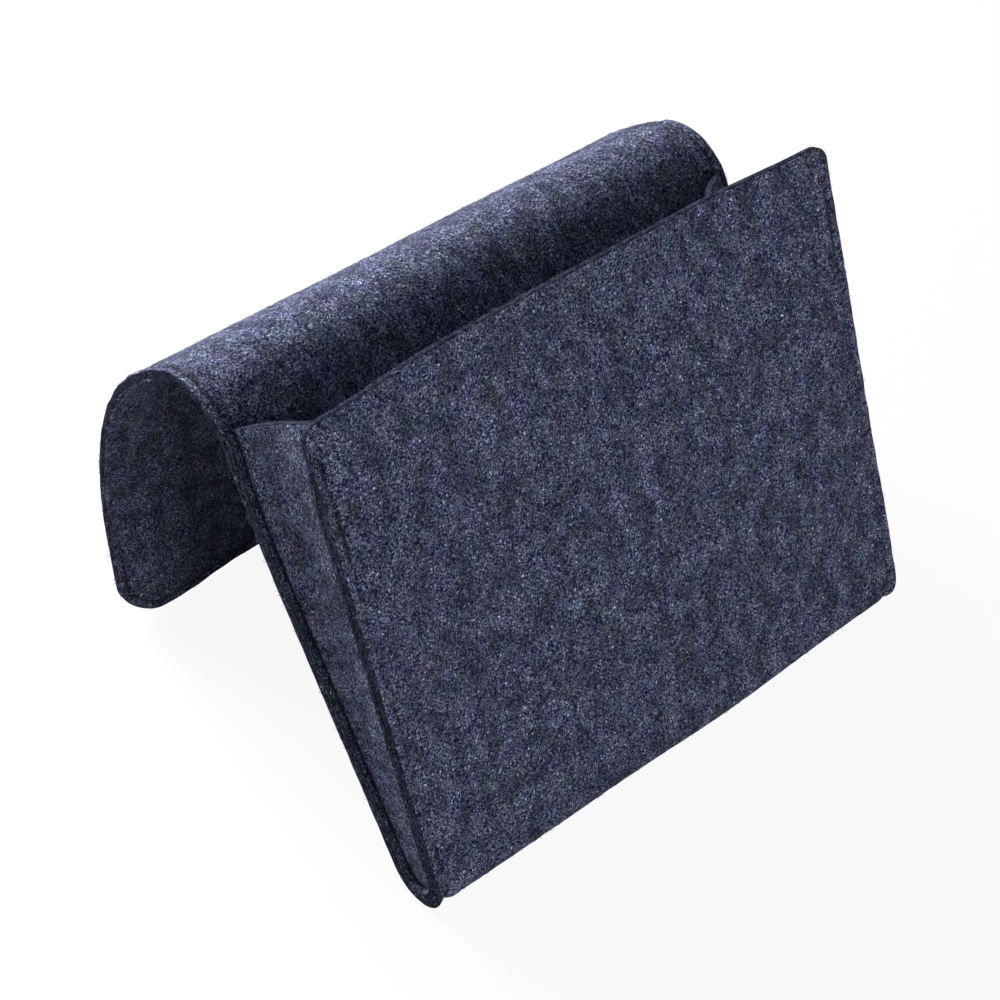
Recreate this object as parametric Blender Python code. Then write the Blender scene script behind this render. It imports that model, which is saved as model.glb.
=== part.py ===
"""Hanging remote caddy of stiff felt, standing open as a tent.

One long felt sheet makes the front panel, the bottom fold, the back panel, the arch and the
flap. Two V-folded gussets, sewn in with outward flanges, close the ends of the pocket. The
sheet is laid out by its own length, as it is cut flat and then folded, so every piece of it
is a strip of one profile. X runs along the width, the front faces -Y, and +Z is up.
"""

import math

import bmesh
import bpy

# The felt
WIDTH = 0.310
FELT = 0.004
GAP = 0.0003

# The profile of the long sheet, from the front panel's top edge round to the flap's end
FRONT_LEAN_DEG = 18.1
FRONT_RUN = 0.2437
FOLD_RADIUS = 0.0167
BACK_LEAN_DEG = 30.2
BACK_RUN = 0.143
BACK_CURVE_RUN = 0.0755
BACK_CURVE_TURN_DEG = 6.9
NEAR_BEND_RADIUS = 0.0333
NEAR_BEND_TURN_DEG = 94.8
FAR_BEND_RADIUS = 0.1425
FAR_BEND_TURN_DEG = 38.7
DROP_RADIUS = 0.230
FACET_TURN_DEG = 6.0

# Outline of the sheet's two ends
MOUTH_CORNER_RADIUS = 0.008
FLAP_CORNER_RADIUS = 0.026
CORNER_STEPS = 6
MOUTH_SLANT = 0.0025

# The front panel is drawn in between its corners, which the gussets hold forward
MOUTH_DRAW_LEFT = 0.0098
MOUTH_DRAW_RIGHT = 0.0080
DRAWN_WIDTH = 0.140
MOUTH_COLUMNS = 20
PANEL_ROWS = 8

# Where the sheet flexes when the caddy moves
PANEL_HINGE_STRIP = 0.012
ARCH_TOP_LENGTH = 0.042
FAR_FLEX_LENGTH = 0.050

# The gussets: a flange sewn to the sheet along each edge, and a web folded inwards
SEAM_MARGIN = 0.0045
GUSSET_SEAM = 0.229
GUSSET_TUCK = 0.0235
TUCK_ROUND_SHARE = 0.30
WEB_COLUMNS = 14
SEAM_TO_NEAR_BEND = 0.003

FELT_COLOUR = (0.050, 0.056, 0.096, 1.0)
FELT_ROUGHNESS = 0.95
FELT_SHEEN = 0.35
VIEW_COLOUR_STEP_SHARE = 0.06


class Profile:
    """The middle line of the sheet seen from its left end, as straight facets.

    Places on it are given by the distance along the sheet, and by how far to the pocket's side
    of the middle they lie, which is also the arch's upper side.
    """

    def __init__(self, heading_deg):
        self.points = [(0.0, 0.0)]
        self.distances = [0.0]
        self.headings = []
        self.heading = math.radians(heading_deg)

    def run(self, length, turn_deg=0.0):
        """Adds a stretch of that length which turns evenly, and gives where it ends."""
        facets = max(1, math.ceil(abs(turn_deg) / FACET_TURN_DEG))
        step = math.radians(turn_deg) / facets
        chord = length / facets
        if step:
            chord *= math.sin(step / 2) / (step / 2)
        for _ in range(facets):
            angle = self.heading + step / 2
            y, z = self.points[-1]
            self.points.append((y + chord * math.cos(angle), z + chord * math.sin(angle)))
            self.distances.append(self.distances[-1] + length / facets)
            self.headings.append(angle)
            self.heading += step
        return self.distances[-1]

    def bend(self, radius, turn_deg):
        return self.run(radius * math.radians(abs(turn_deg)), turn_deg)

    def side(self, i):
        """Unit vector to the pocket's side of facet i."""
        return -math.sin(self.headings[i]), math.cos(self.headings[i])

    def mitre(self, i):
        """Offset direction at point i that keeps both facets there parallel to themselves."""
        before = self.side(max(i - 1, 0))
        after = self.side(min(i, len(self.headings) - 1))
        spread = 1 + before[0] * after[0] + before[1] * after[1]
        return (before[0] + after[0]) / spread, (before[1] + after[1]) / spread

    def at(self, distance, offset=0.0):
        """The point at that distance, moved by offset to the pocket's side."""
        i = 0
        while i < len(self.headings) - 1 and distance > self.distances[i + 1]:
            i += 1
        share = (distance - self.distances[i]) / (self.distances[i + 1] - self.distances[i])
        place = []
        for axis in range(2):
            start = self.points[i][axis] + offset * self.mitre(i)[axis]
            end = self.points[i + 1][axis] + offset * self.mitre(i + 1)[axis]
            place.append(start + (end - start) * share)
        return place

    def move(self, dy, dz):
        self.points = [(y + dy, z + dz) for y, z in self.points]

    def between(self, start, end, extra=()):
        """The distances of all points from start to end, with the extra ones among them."""
        inner = [d for d in (*self.distances, *extra) if start < d < end]
        rows = [start]
        for d in sorted([*inner, end]):
            if d - rows[-1] > GAP:
                rows.append(d)
        rows[-1] = end
        return rows


def fold_profile():
    """Folds the sheet's profile and stands it on its bottom fold and on the flap's end."""
    profile = Profile(-90 - FRONT_LEAN_DEG)
    marks = {"fold_start": profile.run(FRONT_RUN)}
    fold_turn = (90 - BACK_LEAN_DEG) - (-90 - FRONT_LEAN_DEG)
    marks["fold_end"] = profile.bend(FOLD_RADIUS, fold_turn)
    marks["fold_middle"] = (marks["fold_start"] + marks["fold_end"]) / 2
    profile.run(BACK_RUN)
    marks["near_start"] = profile.run(BACK_CURVE_RUN, BACK_CURVE_TURN_DEG)
    marks["near_end"] = profile.bend(NEAR_BEND_RADIUS, -NEAR_BEND_TURN_DEG)
    marks["far_end"] = profile.bend(FAR_BEND_RADIUS, -FAR_BEND_TURN_DEG)
    plumb_turn = 90 + math.degrees(profile.heading)
    marks["drop_start"] = profile.bend(DROP_RADIUS, -plumb_turn)
    lowest = min(z - FELT / 2 * abs(profile.mitre(i)[1]) for i, (_, z) in enumerate(profile.points))
    marks["flap_end"] = profile.run(profile.points[-1][1] - lowest)
    foremost = min(y - FELT / 2 * abs(profile.mitre(i)[0]) for i, (y, _) in enumerate(profile.points))
    rearmost = profile.points[-1][0] + FELT / 2
    profile.move(-(foremost + rearmost) / 2, -lowest)
    return profile, marks


def smooth(share):
    share = min(max(share, 0.0), 1.0)
    return share * share * (3 - 2 * share)


def mouth_draw(x, distance, panel_end):
    """How far the front panel lies inwards there: most in the middle of its top edge."""
    depth = MOUTH_DRAW_LEFT if x < 0 else MOUTH_DRAW_RIGHT
    shoulder = (WIDTH - DRAWN_WIDTH) / 2
    across = smooth((WIDTH / 2 - abs(x)) / shoulder)
    up = max(1 - distance / panel_end, 0.0)
    middle = smooth((x + DRAWN_WIDTH / 2) / DRAWN_WIDTH)
    if abs(x) < DRAWN_WIDTH / 2:
        depth = MOUTH_DRAW_LEFT + (MOUTH_DRAW_RIGHT - MOUTH_DRAW_LEFT) * middle
    return depth * across * up


def round_inset(to_edge, radius):
    """How far a rounded corner draws the side in, at that distance from the end's edge."""
    rest = max(radius - to_edge, 0.0)
    return radius - math.sqrt(max(radius * radius - rest * rest, 0.0))


def corner_rows(edge, direction, radius):
    """Rows through a rounded corner, at even angles of its arc."""
    angles = [math.pi / 2 * k / CORNER_STEPS for k in range(1, CORNER_STEPS + 1)]
    return [edge + direction * radius * (1 - math.cos(a)) for a in angles]


def felt_material(name, share):
    """Heathered dark felt; the share lightens it a little, to tell the pieces apart."""
    material = bpy.data.materials.new(name)
    material.use_nodes = True
    shader = material.node_tree.nodes["Principled BSDF"]
    colour = [channel * (1 + share) for channel in FELT_COLOUR[:3]]
    shader.inputs["Base Color"].default_value = (*colour, 1.0)
    shader.inputs["Roughness"].default_value = FELT_ROUGHNESS
    shader.inputs["Metallic"].default_value = 0.0
    shader.inputs["Sheen Weight"].default_value = FELT_SHEEN
    material.diffuse_color = (*colour, 1.0)
    return material


def pivot(name, place, parent=None):
    """An empty on a joint's axis, which runs along X."""
    empty = bpy.data.objects.new(name, None)
    empty.location = place
    if parent:
        empty.location = [a - b for a, b in zip(place, parent["world"])]
        empty.parent = parent["empty"]
    bpy.context.collection.objects.link(empty)
    return {"empty": empty, "world": place}


def felt_piece(name, rows, columns, place, carrier=None):
    """Cuts a flat grid, folds it by place(row, column) and gives it the felt's thickness."""
    cut = bmesh.new()
    bmesh.ops.create_grid(cut, x_segments=columns - 1, y_segments=rows - 1, size=1)
    origin = carrier["world"] if carrier else (0.0, 0.0, 0.0)
    for vertex in cut.verts:
        column = round((vertex.co.x + 1) / 2 * (columns - 1))
        row = round((vertex.co.y + 1) / 2 * (rows - 1))
        vertex.co = [a - b for a, b in zip(place(row, column), origin)]
    bmesh.ops.remove_doubles(cut, verts=cut.verts, dist=GAP / 10)
    bmesh.ops.recalc_face_normals(cut, faces=cut.faces)
    mesh = bpy.data.meshes.new(name)
    cut.to_mesh(mesh)
    cut.free()
    piece = bpy.data.objects.new(name, mesh)
    bpy.context.collection.objects.link(piece)
    if carrier:
        piece.parent = carrier["empty"]
    thickness = piece.modifiers.new("felt thickness", "SOLIDIFY")
    thickness.thickness = FELT
    thickness.offset = 0.0
    thickness.use_even_offset = True
    count = len([m for m in bpy.data.materials if m.name.startswith("felt")])
    mesh.materials.append(felt_material("felt " + name, VIEW_COLOUR_STEP_SHARE * count))
    return piece


def plain_strip(name, profile, start, end, carrier=None):
    """A full-width strip of the sheet between two distances along it."""
    rows = profile.between(start + GAP / 2, end - GAP / 2)

    def place(row, column):
        y, z = profile.at(rows[row])
        return (column - 0.5) * WIDTH, y, z

    return felt_piece(name, len(rows), 2, place, carrier)


def front_panel(profile, panel_end, carrier):
    """The pocket's front, drawn in at the mouth, with its two rounded top corners.

    The mouth's edge is cut a little aslant, so it is lower at the left end.
    """
    edge = corner_rows(0.0, 1, MOUTH_CORNER_RADIUS)
    even = [panel_end * k / PANEL_ROWS for k in range(1, PANEL_ROWS)]
    rows = profile.between(0.0, panel_end - GAP / 2, (*edge, *even))

    def place(row, column):
        distance = rows[row]
        half = WIDTH / 2 - round_inset(distance, MOUTH_CORNER_RADIUS)
        x = half * (2 * column / MOUTH_COLUMNS - 1)
        slant = MOUTH_SLANT * (0.5 - x / WIDTH) * (1 - distance / panel_end)
        y, z = profile.at(distance + slant, mouth_draw(x, distance, panel_end))
        return x, y, z

    return felt_piece("front_panel", len(rows), MOUTH_COLUMNS + 1, place, carrier)


def flap(profile, start, end, carrier):
    """The hanging flap, with its two large rounded corners."""
    edge = corner_rows(end, -1, FLAP_CORNER_RADIUS)
    rows = profile.between(start + GAP / 2, end, edge)

    def place(row, column):
        half = WIDTH / 2 - round_inset(end - rows[row], FLAP_CORNER_RADIUS)
        y, z = profile.at(rows[row])
        return (2 * column - 1) * half, y, z

    return felt_piece("flap", len(rows), 2, place, carrier)


def tuck(share):
    """The web's fold across the gusset: 0 at both seams and 1 at its rounded crease."""
    slope = math.hypot(2 * share - 1, TUCK_ROUND_SHARE) - TUCK_ROUND_SHARE
    return 1 - slope / (math.hypot(1, TUCK_ROUND_SHARE) - TUCK_ROUND_SHARE)


def gusset(name, profile, marks, panel_end, side):
    """An end of the pocket: flanges against the sheet, and a web that folds inwards.

    Each row runs from the back flange's edge over the web to the front flange's edge, at one
    distance from the middle of the bottom fold, where the first row is folded shut.
    """
    middle = marks["fold_middle"]
    top = marks["fold_end"] - middle + GUSSET_SEAM
    rows = profile.between(middle, middle + top, [middle + top * k / PANEL_ROWS for k in range(PANEL_ROWS)])
    reach = [d - middle for d in rows]
    seam_offset = FELT + GAP
    flange = [0.0, SEAM_MARGIN / 2]
    columns = 2 * len(flange) + WEB_COLUMNS + 1

    def sheet_point(along, x):
        """A point on the middle of the flange, or the seam, at that place of the sheet."""
        draw = mouth_draw(x, along, panel_end) if along < middle else 0.0
        return profile.at(along, seam_offset + draw)

    def place(row, column):
        from_edge = SEAM_MARGIN
        if column < len(flange):
            from_edge = flange[column]
        if column >= columns - len(flange):
            from_edge = flange[columns - 1 - column]
        x = side * (WIDTH / 2 - from_edge)
        back = sheet_point(middle + reach[row], x)
        front = sheet_point(middle - reach[row], x)
        share = min(max((column - len(flange)) / WEB_COLUMNS, 0.0), 1.0)
        above_fold = max(reach[row] - (marks["fold_end"] - middle), 0.0)
        depth = GUSSET_TUCK * above_fold / GUSSET_SEAM * tuck(share)
        y, z = [b + (f - b) * share for b, f in zip(back, front)]
        return x - side * depth, y, z

    return felt_piece(name, len(rows), columns, place)


def build():
    for item in list(bpy.data.objects):
        bpy.data.objects.remove(item, do_unlink=True)
    profile, marks = fold_profile()
    panel_end = marks["fold_start"] - PANEL_HINGE_STRIP / 2
    hinge_end = marks["fold_start"] + PANEL_HINGE_STRIP / 2
    near_start = marks["fold_end"] + GUSSET_SEAM + SEAM_TO_NEAR_BEND
    arch_end = marks["near_end"] + ARCH_TOP_LENGTH
    flap_start = arch_end + FAR_FLEX_LENGTH

    pocket_axis = (0.0, *profile.at(marks["fold_start"]))
    arch_axis = (0.0, *profile.at((marks["near_start"] + marks["near_end"]) / 2))
    flap_axis = (0.0, *profile.at((arch_end + flap_start) / 2))
    front_carrier = pivot("pocket_open_axis", pocket_axis)
    arch_carrier = pivot("arch_bend_axis", arch_axis)
    flap_carrier = pivot("flap_swing_axis", flap_axis, arch_carrier)

    front_panel(profile, panel_end, front_carrier)
    plain_strip("front_hinge", profile, panel_end, hinge_end, front_carrier)
    plain_strip("bottom_fold", profile, hinge_end, marks["fold_end"])
    plain_strip("back_panel", profile, marks["fold_end"], near_start)
    plain_strip("near_bend", profile, near_start, marks["near_end"], arch_carrier)
    plain_strip("arch_top", profile, marks["near_end"], arch_end, arch_carrier)
    plain_strip("far_bend", profile, arch_end, flap_start, flap_carrier)
    flap(profile, flap_start, marks["flap_end"], flap_carrier)
    for name, side in (("left_gusset", -1), ("right_gusset", 1)):
        gusset(name, profile, marks, panel_end, side)


build()
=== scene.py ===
"""Felt armrest caddy: the long folded sheet, its gussets, sewing and loose fibres, and the studio."""

import math

import bmesh
import bpy
import numpy as np
from mathutils import Euler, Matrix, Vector


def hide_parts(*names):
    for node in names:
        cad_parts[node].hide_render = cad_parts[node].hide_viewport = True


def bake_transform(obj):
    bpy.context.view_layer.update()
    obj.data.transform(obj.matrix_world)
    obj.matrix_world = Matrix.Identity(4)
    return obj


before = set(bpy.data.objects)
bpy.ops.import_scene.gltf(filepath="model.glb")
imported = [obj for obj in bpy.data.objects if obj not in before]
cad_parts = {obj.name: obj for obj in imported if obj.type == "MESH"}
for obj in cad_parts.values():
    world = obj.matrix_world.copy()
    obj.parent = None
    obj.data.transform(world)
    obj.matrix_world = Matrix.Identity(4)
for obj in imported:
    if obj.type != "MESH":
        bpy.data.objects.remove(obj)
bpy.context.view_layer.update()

bl_info = {
    "name": "Felt armrest caddy",
    "version": (1, 0, 0),
    "blender": (4, 5, 0),
    "location": "View3D > Sidebar > Caddy",
    "description": "Makes the felt sheet, gussets, sewing and fibres of a hanging caddy, and its studio",
    "category": "Object",
}

# Lengths are in metres, unless a name says otherwise.
# The long sheet's profile, from the front panel's top edge round to the flap's end
WIDTH = 0.310
FELT = 0.004
SEAM_GAP = 0.0003
FRONT_LEAN_DEG = 18.1
FRONT_RUN = 0.2437
FOLD_RADIUS = 0.0167
BACK_LEAN_DEG = 30.2
BACK_RUN = 0.143
BACK_CURVE_RUN = 0.0755
BACK_CURVE_TURN_DEG = 6.9
NEAR_BEND_RADIUS = 0.0333
NEAR_BEND_TURN_DEG = 94.8
FAR_BEND_RADIUS = 0.1425
FAR_BEND_TURN_DEG = 38.7
DROP_RADIUS = 0.230
MOUTH_CORNER_RADIUS = 0.008
FLAP_CORNER_RADIUS = 0.0235

# The front panel's drape, drawn in between its corners, and the ends' small errors of cut
MOUTH_DRAW_LEFT = 0.0098
MOUTH_DRAW_RIGHT = 0.0080
DRAWN_WIDTH = 0.140
PANEL_HINGE_STRIP = 0.012
MOUTH_SLANT = 0.0025
LEFT_FLARE = 0.0006
FRONT_LEFT_FLARE = 0.0006
RIGHT_FLARE = 0.0011
RIGHT_FOOT_FLARE = 0.0012
RIGHT_FOOT_AT = 0.210
RIGHT_FOOT_REACH = 0.050
RIGHT_MOUTH_DRAW = 0.0003
RIGHT_MOUTH_REACH = 0.120

# Where the sheet flexes, and where it is divided so that each piece crosses one joint
ARCH_TOP_LENGTH = 0.042
FAR_FLEX_LENGTH = 0.050
BACK_JOIN_ABOVE_FOLD = 0.060
ARCH_JOIN_SHARE = 0.5

# The gussets
SEAM_MARGIN = 0.0045
GUSSET_SEAM = 0.227
LEFT_TUCK = {"depth": 0.0080, "back_share": 0.50, "front_share": 0.10, "back_trim": 0.0022, "rise": 0.0135}
RIGHT_TUCK = {"depth": 0.0350, "back_share": 0.52, "front_share": 0.48, "back_trim": 0.0044, "rise": 0.0010}
RISE_REACH = 0.060
FLANGE_SPRING = 0.0006
SPRING_FROM_SHARE = 0.3
SPRING_OVER_SHARE = 0.3
FRONT_TRIM = 0.0041
TRIM_REACH = 0.030
# Widening of the back seam's groove and of its painted shade, along the gusset's root crease
ROOT_GROOVE_AND_SHADE_WIDENING = 2.3
FIRST_REACH_SHARE = 1 / 400
WEB_SPLITS = 64
FLANGE_SPLITS = 8
CROSS_SMOOTHING = 1
GUSSET_WAVE_SHARE = 0.05
GUSSET_WAVE_LENGTH = 0.120
GUSSET_PATTERN_WIDTHS = {-1: 4, 1: 2}

# Grid steps
CURVE_STEP = 0.00025
EDGE_BAND = 0.0102
EDGE_STEP = 0.0006
NEAR_BAND = 0.030
NEAR_STEP = 0.0015
MIDDLE_STEP = 0.0026
ROW_STEP = 0.00175
CORNER_ROWS = 14
OVERHANG = 0.010

# The cut edge's rounding, as shares of a quarter turn on each side
EDGE_ROUND = 0.0005
EDGE_TURN_SHARES = (0.0, 0.4, 0.75, 1.0)

# The sheet's slow shapes: the fold's bulge and ears, the crown's sag, the flap's curl, the waves
FOLD_BULGE = 0.0024
FOLD_BULGE_AT = 0.030
FOLD_BULGE_WIDTH = 0.052
FOLD_REACH = 0.022
EAR_PULL = 0.0030
EAR_WIDTH = 0.0034
EAR_DROP = 0.0009
CROWN_AT = 0.055
CROWN_REACH = 0.045
CROWN_SAG = 0.0006
CROWN_SAG_AT = -0.030
CROWN_SAG_WIDTH = 0.062
CROWN_END_AT = 0.008
CROWN_END_REACH = 0.030
CROWN_END_SAG = 0.0028
CROWN_END_FROM = 0.138
CROWN_END_WIDTH = 0.022
FLAP_CURL = 0.0050
CURL_INNER = 0.072
CURL_INNER_WIDTH = 0.060
CURL_OUTER_WIDTH = 0.022
CURL_REACH = 0.070
RIGHT_CURL_SHARE = 0.5
SLOW_WAVE = 0.0004
SLOW_WAVE_SIZE = 0.110
SLOW_WAVES = 5
SLOW_SEED = 3
SEAM_PUCKER = 0.00030
PUCKER_SIZE = 0.018
PUCKER_REACH = 4 * SEAM_MARGIN
PUCKER_WAVES = 8
PUCKER_SEED = 5
FELT_RELIEF = 0.00010
RELIEF_SIZE = 0.0085
RELIEF_WAVES = 14
SHEET_SEEDS = {"upper": 11, "lower": 12}
GUSSET_SEEDS = {"upper": 22, "lower": 21}
WAVE_SIZE_SHARES = (0.7, 1.6)
THINNEST = 0.0003

# How hard the seam is pressed, and how dark the painted shade in its groove is, at places along the sheet
PRESSED_AND_SHADED_AT = (0.000, 0.058, 0.080, 0.215, 0.240, 0.600, 0.660, 0.762, 0.788)
PRESSED_AND_SHADED_BY = (1.00, 1.00, 0.45, 0.45, 1.00, 1.00, 0.45, 0.45, 1.08)

# Sewing thread and loose fibres
THREAD_STEPS = 7
THREAD_SIDES = 6
THREAD_PROUD_SHARE = 0.4
STITCH_TAPER = 0.9
THREAD_DARK_SHARE = 0.45
TWISTS_PER_M = 900.0
FIBRE_STEPS = 4
FIBRE_SIDES = 4
RIM_SHARE = 0.12
RIM_SPREAD_SHARES = (-0.3, 1.0)
LENGTH_SHARES = (0.5, 1.5)
BEND_SHARES = (-0.5, 0.5)
RISE_SHARES = (0.2, 1.0)
THICKNESS_SHARES = (0.6, 1.2)
TIP_TAPER = 0.7
LOOSE_LIGHT_SHARE = 0.45
PICKS_PER_M = 420.0
PICK_RANGE = (0.38, 0.62)

# The felt's pattern, per millimetre
FIBRE_TURNS_DEG = (86, 38, 134, 108)
FIBRES_ACROSS = 2.9
FIBRES_ALONG = 0.55
FIBRE_WIDE = 0.44
FIBRE_FADE_POWER = 5.6
FIBRE_SHIFT_PER_DEG = (0.37, 0.11)
CURL_MM = 2.6
CURLS_PER_MM = 0.5
SPECKS_PER_MM = 3.3
SPECK_RANGE = (0.32, 0.68)
SPECK_RELIEF_SHARE = 0.6
CLOUD_TONE = 0.36
CLOUDS_PER_MM = 0.10
CLOUD_STRETCH = (1.0, 0.6, 1.0)
CLOUD_RANGE = (0.3, 0.7)
CLOUD_DISTORTION = 0.3
HUE_DRIFTS_PER_MM = 0.075

# The felt's surfaces: its faces, and its cut edges with fewer light fibres and no sheen
FACE_FINISH = {"light_amount": 1.0, "clouds": 1.0, "relief": 1.0, "specular": 0.05, "sheen_share": 1.0}
EDGE_FINISH = {"light_amount": 0.2, "clouds": 0.5, "relief": 0.6, "specular": 0.0, "sheen_share": 0.0}
RELIEF_HEIGHT = 0.0006
SHEEN_TINT = (0.62, 0.66, 0.85)

# The floor and the lamps
FLOOR_HALF = 4.0
FLOOR_DEPTH = 0.0015
AIM = (0.0, 0.0, 0.12)
KEY_PLACE = (-0.25, -2.0, 0.95)
KEY_SIZE = 1.1
SIDE_PLACE = (-1.9, 0.35, 1.0)
SIDE_SIZE = 0.8
BACK_PLACE = (-0.30, 1.9, 0.95)
BACK_SIZE = 0.9

# The photograph's camera
CAMERA_PLACE = (-0.5389, -0.6427, 0.8436)
CAMERA_TURN_DEG = (47.732, 0.963, -40.757)
CAMERA_LENS_MM = 80.0
SENSOR_MM = 36.0


def smooth(share):
    """Smoothstep: three times the square less twice the cube, held between 0 and 1."""
    share = np.clip(share, 0.0, 1.0)
    return share * share * (3 - 2 * share)


def quarter_sine(share):
    """Sine of a quarter turn's share: steep at 0, level from 1 on."""
    return np.sin(math.pi / 2 * np.clip(share, 0.0, 1.0))


def bell(distance, width):
    """Bell curve: e to the minus square of distance over width."""
    return np.exp(-np.square(distance / width))


def sheet_middle():
    """The sheet's middle line as a table of many short steps.

    The heading turns evenly along each stretch, and the place is the running sum of the steps
    along their headings. The line then stands on its lowest point and is centred front to back.
    """
    fold_turn = 180 - BACK_LEAN_DEG + FRONT_LEAN_DEG
    near_length = NEAR_BEND_RADIUS * math.radians(NEAR_BEND_TURN_DEG)
    far_length = FAR_BEND_RADIUS * math.radians(FAR_BEND_TURN_DEG)
    slope = 90 - BACK_LEAN_DEG + BACK_CURVE_TURN_DEG - NEAR_BEND_TURN_DEG - FAR_BEND_TURN_DEG
    stretches = [
        ("lead", OVERHANG, 0.0),
        ("front", FRONT_RUN, 0.0),
        ("fold", FOLD_RADIUS * math.radians(fold_turn), fold_turn),
        ("back", BACK_RUN, 0.0),
        ("back_curve", BACK_CURVE_RUN, BACK_CURVE_TURN_DEG),
        ("near_bend", near_length, -NEAR_BEND_TURN_DEG),
        ("far_bend", far_length, -FAR_BEND_TURN_DEG),
        ("drop_curve", DROP_RADIUS * math.radians(90 + slope), -90 - slope),
        ("drop", WIDTH, 0.0),
    ]
    lengths = []
    turns = []
    marks = {}
    for name, length, turn_deg in stretches:
        steps = math.ceil(length / CURVE_STEP)
        lengths += [length / steps] * steps
        turns += [math.radians(turn_deg) / steps] * steps
        marks[name] = sum(lengths) - OVERHANG
    lengths = np.array(lengths)
    turns = np.array(turns)
    after = math.radians(-90 - FRONT_LEAN_DEG) + np.cumsum(turns)
    middle = after - turns / 2
    along = np.concatenate([[0.0], np.cumsum(lengths)]) - OVERHANG
    y = np.concatenate([[0.0], np.cumsum(lengths * np.cos(middle))])
    z = np.concatenate([[0.0], np.cumsum(lengths * np.sin(middle))])
    sheet = (along >= 0) & (along <= marks["back"])
    lowest = z[sheet].min() - FELT / 2
    marks["end"] = float(marks["drop_curve"] + np.interp(marks["drop_curve"], along, z) - lowest)
    y -= (y[sheet].min() + y[-1]) / 2
    z -= lowest
    heading = np.concatenate([[after[0]], after])
    return {"along": along, "y": y, "z": z, "heading": heading}, marks


MIDDLE, MARKS = sheet_middle()
END = MARKS["end"]
FOLD_MIDDLE = (MARKS["front"] + MARKS["fold"]) / 2
PANEL_END = MARKS["front"] - PANEL_HINGE_STRIP / 2
BACK_JOIN = MARKS["fold"] + BACK_JOIN_ABOVE_FOLD
GUSSET_TOP = MARKS["fold"] + GUSSET_SEAM
FRONT_SEAM_TOP = 2 * FOLD_MIDDLE - GUSSET_TOP
ARCH_JOIN = MARKS["near_bend"] + ARCH_TOP_LENGTH * ARCH_JOIN_SHARE
ARCH_END = MARKS["near_bend"] + ARCH_TOP_LENGTH
FLAP_START = ARCH_END + FAR_FLEX_LENGTH


def on_sheet(x, along, height):
    """Folds flat places: the middle line's point there, moved by height to the pocket's side."""
    y = np.interp(along, MIDDLE["along"], MIDDLE["y"])
    z = np.interp(along, MIDDLE["along"], MIDDLE["z"])
    heading = np.interp(along, MIDDLE["along"], MIDDLE["heading"])
    x, y, z, height, heading = np.broadcast_arrays(x, y, z, height, heading)
    return np.stack([x, y - height * np.sin(heading), z + height * np.cos(heading)], axis=-1)


def point_on_sheet(along):
    """A point of the middle line, in the middle of the width, as plain numbers."""
    return tuple(float(value) for value in on_sheet(0.0, along, 0.0))


def as_cut(x, along, height):
    """Places on the sheet as it was cut and sewn: its mouth slants, and its sides flare a little.

    The slant fades evenly from the mouth to the fold. Each side's flare is a share of its half of
    the width. On the left it is larger by a smoothstep on the front panel. On the right it is
    larger by a bell near the fold, and smaller by a smoothstep at the mouth.
    """
    slant = MOUTH_SLANT * (0.5 - x / WIDTH) * np.clip(1 - along / PANEL_END, 0.0, 1.0)
    foot = RIGHT_FOOT_FLARE * bell(along - RIGHT_FOOT_AT, RIGHT_FOOT_REACH)
    mouth = RIGHT_MOUTH_DRAW * smooth(1 - along / RIGHT_MOUTH_REACH)
    panel = FRONT_LEFT_FLARE * smooth((MARKS["front"] - along) / FOLD_RADIUS)
    flare = np.where(x > 0, RIGHT_FLARE + foot - mouth, LEFT_FLARE + panel)
    return on_sheet(x * (1 + flare / (WIDTH / 2)), along + slant, height)


def mouth_draw(x, along):
    """The front panel's drape: a depth, times a smoothstep in from each side, times the height share."""
    shoulder = (WIDTH - DRAWN_WIDTH) / 2
    side = smooth((x + DRAWN_WIDTH / 2) / DRAWN_WIDTH)
    depth = MOUTH_DRAW_LEFT + (MOUTH_DRAW_RIGHT - MOUTH_DRAW_LEFT) * side
    across = smooth((WIDTH / 2 - np.abs(x)) / shoulder)
    return depth * across * np.clip(1 - along / PANEL_END, 0.0, 1.0)


def edge_distance(x, along):
    """Distance in from the cut outline: to the side, to the flap's end, or to its corner's arc."""
    side = WIDTH / 2 - np.abs(x)
    end = END - along
    to_arc = FLAP_CORNER_RADIUS - np.hypot(
        np.maximum(FLAP_CORNER_RADIUS - side, 0), np.maximum(FLAP_CORNER_RADIUS - end, 0)
    )
    in_corner = (side < FLAP_CORNER_RADIUS) & (end < FLAP_CORNER_RADIUS)
    return np.where(in_corner, to_arc, np.minimum(side, end))


def seam_run(x, along):
    """Distance along the sewn line: down the side, then the corner's arc, then the flap's end."""
    side = np.maximum(FLAP_CORNER_RADIUS - WIDTH / 2 + np.abs(x), 0)
    end = np.maximum(FLAP_CORNER_RADIUS - END + along, 0)
    angle = np.arctan2(end, side + SEAM_GAP)
    across = np.where(end > 0, np.maximum(WIDTH / 2 - FLAP_CORNER_RADIUS - np.abs(x), 0), 0.0)
    straight = np.minimum(along, END - FLAP_CORNER_RADIUS)
    return straight + (FLAP_CORNER_RADIUS - SEAM_MARGIN) * angle + across


def seam_place(run, across, side):
    """The flat place at that distance along the sewn line, and across outwards from it."""
    radius = FLAP_CORNER_RADIUS - SEAM_MARGIN
    corner = END - FLAP_CORNER_RADIUS
    angle = np.clip((run - corner) / radius, 0.0, math.pi / 2)
    past = np.maximum(run - corner - radius * math.pi / 2, 0.0)
    x = WIDTH / 2 - FLAP_CORNER_RADIUS + (radius + across) * np.cos(angle) - past
    along = np.minimum(run, corner) + (radius + across) * np.sin(angle)
    return side * x, along


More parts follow.
